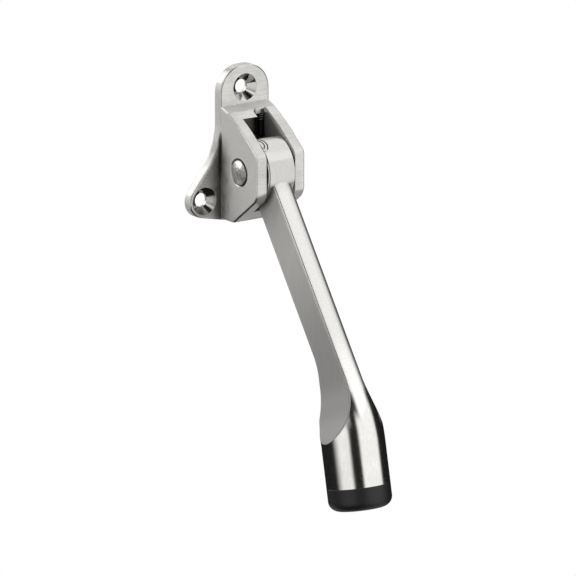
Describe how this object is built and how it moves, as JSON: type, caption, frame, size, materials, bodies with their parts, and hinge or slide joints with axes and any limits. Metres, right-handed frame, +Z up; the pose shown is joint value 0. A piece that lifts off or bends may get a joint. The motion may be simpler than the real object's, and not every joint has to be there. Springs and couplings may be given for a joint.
{
  "type": "kick-down door holder",
  "caption": "Kick-down door holder: a bracket screwed to a door's foot with a cranked swinging arm whose rubber tip wedges on the floor.",
  "frame": {"origin": "on the plate's flat back face, in the middle of its width and level with the pivot pin", "axes": "+X along the door's width, +Y into the door, +Z up; the arm swings in the YZ plane"},
  "size_m": [0.0474, 0.0845, 0.1482],
  "materials": {
    "satin_nickel": "satin nickel plated casting, finely brushed",
    "satin_nickel_arm": "satin nickel plated casting, brushed along its length",
    "peened_pin": "peened end, lightly dimpled",
    "washer_steel": "plain steel",
    "screw_steel": "zinc plated",
    "spring_steel": "drawn wire",
    "black_oxide": "black oxide steel",
    "black_rubber": "moulded, faintly satin"
  },
  "bodies": {
    "base": {"bracket": "satin_nickel", "pivot_pin": "peened_pin", "friction_washer_left": "washer_steel", "friction_washer_right": "washer_steel", "detent_spring": "spring_steel"},
    "swing_arm": {"arm": "satin_nickel_arm", "rubber_tip": "black_rubber", "tip_washer": "washer_steel", "tip_screw": "screw_steel"},
    "plunger": {"detent_plunger": "black_oxide"}
  },
  "joints": [
    {"name": "arm_swing", "type": "hinge", "parent": "base", "child": "swing_arm", "pos_m": [0, -0.01455, 0], "axis": [-1, 0, 0], "range_deg": [0, 129]},
    {"name": "plunger_slide", "type": "slide", "parent": "base", "child": "plunger", "axis": [0, 0, 1], "range_m": [0, 0.0008], "stiffness_N_per_m": 1500, "springref_m": -0.002, "deforming": ["detent_spring"]}
  ]
}
